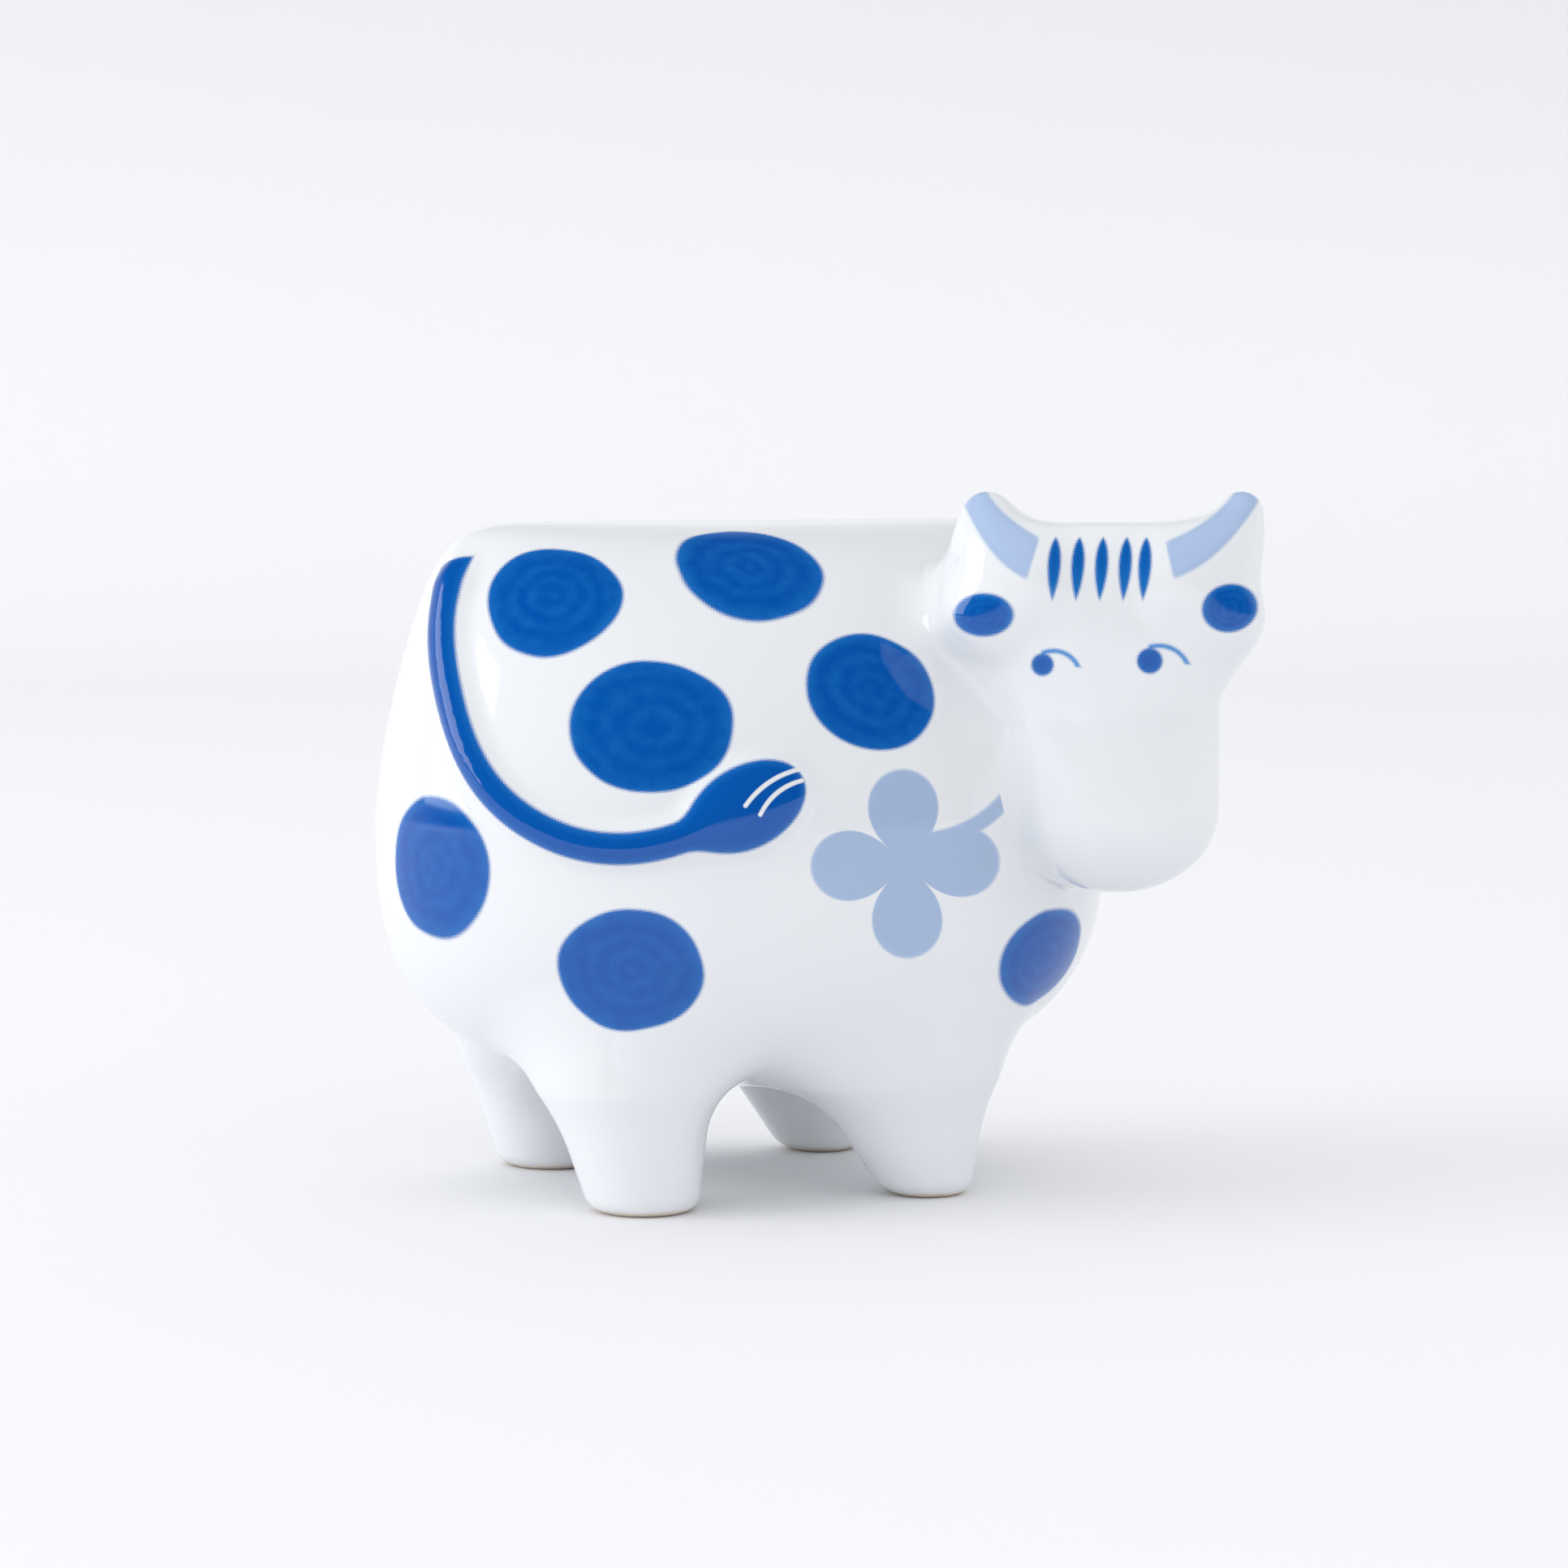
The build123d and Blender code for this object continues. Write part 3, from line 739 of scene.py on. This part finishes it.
def whiteGlaze(paint):
    # faint warm and cool clouds, as the glaze lies thinner and thicker
    return paint.mix(paint.step(paint.noise(60, 3.0), 0.35, 0.7), colors["glaze"], tuple(c * k for c, k in zip(colors["glaze"], (0.985, 0.995, 1.0))))


def torsoMaterial():
    paint = Paint("glaze_body")
    u, v = paint.place()
    screen = dotScreen(paint, u, v)
    facing = paint.step(paint.dot(paint.normal, sightBack), 0.0, 0.05)
    color = whiteGlaze(paint)
    wobble = paint.math("MULTIPLY", paint.math("SUBTRACT", paint.noise(150, 1.0), 0.5), 0.8)
    ovals = [paint.decal(spot) for spot in spots + farSpots]
    edge = paint.math("ADD", paint.nearest([oval[1] for oval in ovals]), wobble)
    share = paint.nearest([oval[0] for oval in ovals])
    color = printed(paint, color, edge, colors["cobalt"], colors["cobaltPale"], screen, share)
    # four-leaf clover: a rounded rose curve, and its bent stem
    a, b = paint.turned(u, v, clover["at"], clover["turn"])
    far = paint.math("SQRT", paint.math("ADD", paint.math("MULTIPLY", a, a), paint.math("MULTIPLY", b, b)))
    leaf = paint.math("ABSOLUTE", paint.math("COSINE", paint.math("MULTIPLY", paint.math("ARCTAN2", b, a), 2.0)))
    rose = paint.math("ADD", paint.math("MULTIPLY", paint.math("POWER", leaf, 0.6), clover["reach"] * 0.76), clover["reach"] * 0.24)
    stem, along = paint.segment(u, v, *clover["stem"], clover["stemSag"])
    stem = paint.math("SUBTRACT", stem, 0.62)
    edge = paint.math("MINIMUM", paint.math("SUBTRACT", far, rose), stem)
    edge = paint.math("MAXIMUM", edge, paint.step(facing, 0.0, 1.0, 5.0, -50.0))
    color = printed(paint, color, edge, colors["pale"], colors["paleHorn"], screen)
    return glaze(paint, tailPrint(paint, color, u, v, screen))


def tailPrint(paint, color, u, v, screen):
    # cobalt along the relief, with two streaks left white in the tuft
    place = paint.tree.nodes.new("ShaderNodeAttribute")
    place.attribute_name = "tailPlace"
    parts = paint.tree.nodes.new("ShaderNodeSeparateXYZ")
    paint.put(parts.inputs[0], place.outputs["Vector"])
    edge = paint.math("MAXIMUM", parts.outputs[1], paint.math("SUBTRACT", 1.0, parts.outputs[0]))
    tail = printed(paint, color, edge, colors["cobalt"], colors["cobaltPale"], screen)
    lines = []
    for a, b in streaks:
        off, t = paint.segment(u, v, a, b, -0.45)
        lines.append(paint.math("SUBTRACT", off, 0.17))
    streak = paint.step(paint.nearest(lines), -0.06, 0.06, 1.0, 0.0)
    return paint.mix(streak, tail, color)


def tailMaterial():
    paint = Paint("glaze_tail")
    u, v = paint.place()
    return glaze(paint, tailPrint(paint, whiteGlaze(paint), u, v, dotScreen(paint, u, v)))


def faceMaterial():
    paint = Paint("glaze_face")
    u, v = paint.place()
    screen = dotScreen(paint, u, v)
    facing = paint.step(paint.dot(paint.normal, sightBack), 0.0, 0.05, 5.0, -50.0)
    near = paint.math("SUBTRACT", paint.dot(paint.coords, sightBack * 1000), stand @ sightBack * 1000)
    facing = paint.math("MAXIMUM", facing, paint.step(near, 8.0, 8.5, 5.0, -50.0))  # the face, not the nape behind it
    color = whiteGlaze(paint)
    bands = []
    for horn in hornPaint:
        bands.append(paint.band(u, v, **horn))
    edge = paint.math("MAXIMUM", paint.nearest(bands), facing)
    color = printed(paint, color, edge, colors["paleHorn"], colors["pale"], screen)
    ovals = [paint.oval(u, v, ear["at"], ear["half"], ear["turn"]) for ear in earPaint]
    edge = paint.math("MAXIMUM", paint.nearest([oval[1] for oval in ovals]), facing)
    color = printed(paint, color, edge, colors["cobalt"], colors["cobaltPale"], screen, paint.nearest([oval[0] for oval in ovals]))
    marks = []
    for stripe in stripes:
        a, b = paint.turned(u, v, stripe["at"], 0.0)
        a = paint.math("SUBTRACT", a, paint.math("MULTIPLY", b, stripe["lean"]))
        t = paint.math("DIVIDE", b, stripe["half"][1])
        lens = paint.math("MAXIMUM", paint.math("SUBTRACT", 1.0, paint.math("MULTIPLY", t, t)), 0.0)
        lens = paint.math("MULTIPLY", paint.math("POWER", lens, 0.7), paint.math("MULTIPLY_ADD", t, 0.25, 1.0))
        lens = paint.math("SUBTRACT", paint.math("MULTIPLY", lens, stripe["half"][0]), 0.03)
        marks.append(paint.math("MAXIMUM", paint.math("SUBTRACT", paint.math("ABSOLUTE", a), lens),
                                paint.math("SUBTRACT", paint.math("ABSOLUTE", b), stripe["half"][1])))
    lashes, pupils = [], []
    for eye in eyes:
        pupils.append(paint.oval(u, v, eye["at"], (eye["radius"], eye["radius"]))[1])
        # lash: part of a ring, given by its middle from the eye's and its radius
        across, up, radius = eye["lash"]
        a, b = paint.turned(u, v, (eye["at"][0] + across, eye["at"][1] + up), 0.0)
        far = paint.math("SQRT", paint.math("ADD", paint.math("MULTIPLY", a, a), paint.math("MULTIPLY", b, b)))
        ring = paint.math("SUBTRACT", paint.math("ABSOLUTE", paint.math("SUBTRACT", far, radius)), 0.19)
        ring = paint.math("MAXIMUM", ring, paint.math("SUBTRACT", -across - 0.1, a))
        lashes.append(paint.math("MAXIMUM", ring, paint.math("SUBTRACT", 0.4 * radius, b)))
    edge = paint.math("MAXIMUM", paint.nearest(lashes), facing)
    color = printed(paint, color, edge, colors["lash"], colors["cobaltPale"], screen)
    edge = paint.math("MAXIMUM", paint.nearest(pupils), facing)
    color = printed(paint, color, edge, colors["cobalt"], colors["cobaltPale"], screen)
    edge = paint.math("MAXIMUM", paint.nearest(marks), facing)
    ink = paint.mix(paint.step(v, 42.8, 46.4, 0.42, 0.0), colors["cobalt"], colors["cobaltPale"])  # paler downwards
    color = printed(paint, color, edge, ink, colors["cobaltPale"], screen)
    return glaze(paint, color)


def legMaterial():
    paint = Paint("glaze_leg")
    return glaze(paint, whiteGlaze(paint))


materials = dict(torso=torsoMaterial(), tail=tailMaterial(), head=faceMaterial(), leg=legMaterial())
for node, piece in pieces.items():
    kind = node if node in materials else "leg" if node.startswith("leg") else "head"
    piece.data.materials.append(materials[kind])
print("glazes and prints done")

# Stage: a pale sweep under soft light
stage = dict(floorColor=(0.868, 0.873, 0.891), background=(0.871, 0.880, 0.913), ambient=1.02, behind=0.86, ahead=0.03)


def makeStage():
    # floor that runs back and curves up into a wall
    u = np.linspace(-1.6, 1.6, 9)
    angle = np.linspace(0, np.pi / 2, 13)
    back = np.r_[-1.2, 0.6 + 0.25 * np.sin(angle), 0.85]
    up = np.r_[0.0, 0.25 - 0.25 * np.cos(angle), 0.36]
    grid = np.stack([np.repeat(u, len(back)), np.tile(back, len(u)), np.tile(up, len(u))], 1)
    turn = np.array([[sightRight[0], sightRight[1], 0], [-sightRight[1], sightRight[0], 0], [0, 0, 1]])
    n = len(back)
    a = (np.arange(len(u) - 1)[:, None] * n + np.arange(n - 1)).ravel()
    mesh = bpy.data.meshes.new("floor")
    mesh.from_pydata((grid @ turn + (stand[0], stand[1], 0)).tolist(), [], np.stack([a, a + n, a + n + 1, a + 1], 1).tolist())
    mesh.polygons.foreach_set("use_smooth", np.ones(len(mesh.polygons), bool))
    floor = bpy.data.objects.new("floor", mesh)
    bpy.context.scene.collection.objects.link(floor)
    paint = Paint("sweep")
    paint.shader.inputs["Roughness"].default_value = 0.75
    paint.shader.inputs["Specular IOR Level"].default_value = 0.1
    # painted shade in reflections: glossy rays see the floor ahead of the cow nearly black, the camera sees it pale
    ahead = paint.step(paint.dot(paint.coords, sightBack), 0.12, 0.6)
    glossy = paint.tree.nodes.new("ShaderNodeLightPath").outputs["Is Glossy Ray"]
    reflectedShade = tuple(c * 0.12 for c in stage["floorColor"])
    # painted shade: the sweep is painted a tenth darker as it rises into the wall
    wall = tuple(c * 0.9 for c in stage["floorColor"])
    pale = paint.mix(paint.step(paint.dot(paint.coords, (0, 0, 1)), 0.03, 0.2), stage["floorColor"], wall)
    paint.put(paint.shader.inputs["Base Color"], paint.mix(paint.math("MULTIPLY", ahead, glossy), pale, reflectedShade))
    mesh.materials.append(paint.material)


def makeLight(name, at, size, power, color=(1, 1, 1)):
    light = bpy.data.lights.new(name, "AREA")
    light.shape = "RECTANGLE"
    light.size, light.size_y = size
    light.energy = power
    light.color = color
    lamp = bpy.data.objects.new(name, light)
    target = Vector((stand[0], stand[1], 0.025))
    lamp.location = Vector((stand[0], stand[1], 0)) + Vector(at)
    lamp.rotation_euler = (target - lamp.location).to_track_quat("-Z", "Y").to_euler()
    bpy.context.scene.collection.objects.link(lamp)


def makeWorld():
    world = bpy.data.worlds.new("studio")
    world.use_nodes = True
    tree = world.node_tree
    tree.nodes.clear()
    path = tree.nodes.new("ShaderNodeLightPath")
    out = tree.nodes.new("ShaderNodeOutputWorld")

    def plain(color, strength):
        node = tree.nodes.new("ShaderNodeBackground")
        node.inputs[0].default_value = (*color, 1)
        node.inputs[1].default_value = strength
        return node.outputs[0]

    def choose(factor, a, b):
        node = tree.nodes.new("ShaderNodeMixShader")
        tree.links.new(factor, node.inputs[0])
        tree.links.new(a, node.inputs[1])
        tree.links.new(b, node.inputs[2])
        return node.outputs[0]

    # glossy rays see a bright wall low behind and a dark room ahead and above, fading into each other
    way = tree.nodes.new("ShaderNodeTexCoord")
    dark = tree.nodes.new("ShaderNodeMath")
    dark.operation = "MAXIMUM"
    for socket, along, start, end in ((dark.inputs[0], sightBack, -0.5, 0.3), (dark.inputs[1], (0, 0, 1), 0.25, 0.7)):
        ahead = tree.nodes.new("ShaderNodeVectorMath")
        ahead.operation = "DOT_PRODUCT"
        tree.links.new(way.outputs["Generated"], ahead.inputs[0])
        ahead.inputs[1].default_value = along
        fade = tree.nodes.new("ShaderNodeMapRange")
        fade.interpolation_type = "SMOOTHSTEP"
        tree.links.new(ahead.outputs["Value"], fade.inputs[0])
        for given, value in zip(fade.inputs[1:5], (start, end, 0.0, 1.0)):
            given.default_value = value
        tree.links.new(fade.outputs[0], socket)
    seen = choose(dark.outputs[0], plain((1, 1, 1.02), stage["behind"]), plain((1, 1, 1.02), stage["ahead"]))
    lit = choose(path.outputs["Is Glossy Ray"], plain((1, 1, 1.02), stage["ambient"]), seen)
    tree.links.new(choose(path.outputs["Is Camera Ray"], lit, plain(stage["background"], 1.0)), out.inputs[0])
    bpy.context.scene.world = world


makeStage()
makeWorld()
makeLight("key", tuple(-0.85 * sightRight + 0.14 * sightBack + (0, 0, 0.3)), (0.55, 0.5), 2.75)
camera = bpy.data.cameras.new("camera")
camera.sensor_width = 36.0
camera.lens = 36.0 / 1932 * sight["distance"] / 0.06
camera.clip_start, camera.clip_end = 0.01, 20
eye = bpy.data.objects.new("camera", camera)
spot = (sightBack * sight["distance"] + sightRight * sight["aim"][0] + sightUp * sight["aim"][1]) * 0.001 + stand
basis = Matrix((sightRight, sightUp, sightBack)).transposed().to_4x4()
eye.matrix_world = Matrix.Translation(Vector(spot)) @ basis
bpy.context.scene.collection.objects.link(eye)
bpy.context.scene.camera = eye
bpy.context.scene.view_settings.view_transform = "Standard"
print("stage, light and camera done")
